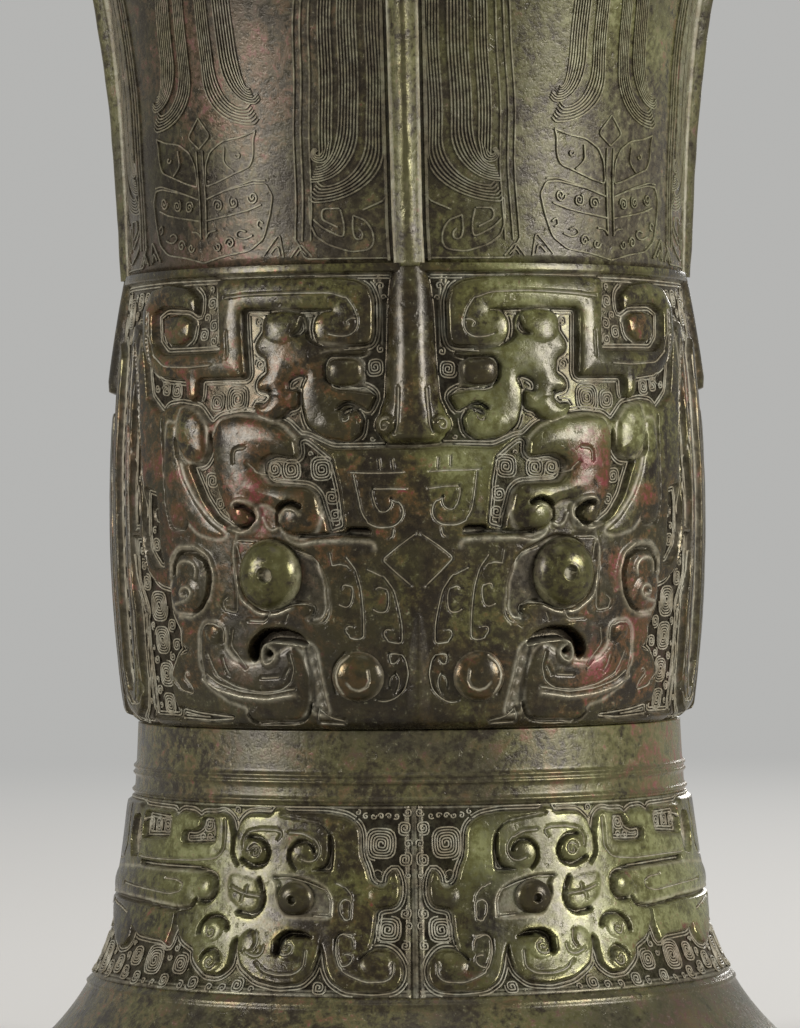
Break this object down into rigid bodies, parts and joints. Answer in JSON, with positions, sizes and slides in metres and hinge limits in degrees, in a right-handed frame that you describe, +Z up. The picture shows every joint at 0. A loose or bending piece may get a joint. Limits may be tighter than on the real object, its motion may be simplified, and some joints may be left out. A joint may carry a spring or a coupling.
{
  "type": "wine vessel",
  "caption": "Round ritual bronze wine vessel with a trumpet neck, a bowed belly with horned masks in relief, upright ridges and a flaring ring foot.",
  "frame": {"origin": "middle of the foot's resting face, on the vessel's axis", "axes": "+Z up the vessel's axis, front mask towards -Y, +X to the viewer's right"},
  "size_m": [0.222, 0.222, 0.342],
  "materials": {
    "cast_wall": "aged olive bronze patina",
    "worn_ridge": "worn satin bronze",
    "stud": "worn satin bronze",
    "relief": "aged bronze, earth in the grooves",
    "spacer": "aged bronze"
  },
  "bodies": {
    "root": {"neck": "cast_wall", "belly": "cast_wall", "foot": "cast_wall", "neck_flange_front": "worn_ridge", "neck_flange_right": "worn_ridge", "neck_flange_back": "worn_ridge", "neck_flange_left": "worn_ridge", "forehead_ridge_front": "worn_ridge", "forehead_ridge_back": "worn_ridge", "side_ridge_right": "worn_ridge", "side_ridge_left": "worn_ridge", "nose_front": "worn_ridge", "nose_back": "worn_ridge", "upper_eye_front_right": "stud", "upper_eye_front_left": "stud", "upper_eye_back_right": "stud", "upper_eye_back_left": "stud", "mask_eye_front_right": "stud", "mask_eye_front_left": "stud", "mask_eye_back_right": "stud", "mask_eye_back_left": "stud", "nostril_front_right": "stud", "nostril_front_left": "stud", "nostril_back_right": "stud", "nostril_back_left": "stud", "foot_eye_front_right": "stud", "foot_eye_front_left": "stud", "foot_eye_back_right": "stud", "foot_eye_back_left": "stud", "upper_mask_front_right": "relief", "upper_mask_front_left": "relief", "upper_mask_back_right": "relief", "upper_mask_back_left": "relief", "lower_mask_front_right": "relief", "lower_mask_front_left": "relief", "lower_mask_back_right": "relief", "lower_mask_back_left": "relief", "foot_dragon_front_right": "relief", "foot_dragon_front_left": "relief", "foot_dragon_back_right": "relief", "foot_dragon_back_left": "relief", "floor_spacers": "spacer"}
  },
  "joints": []
}
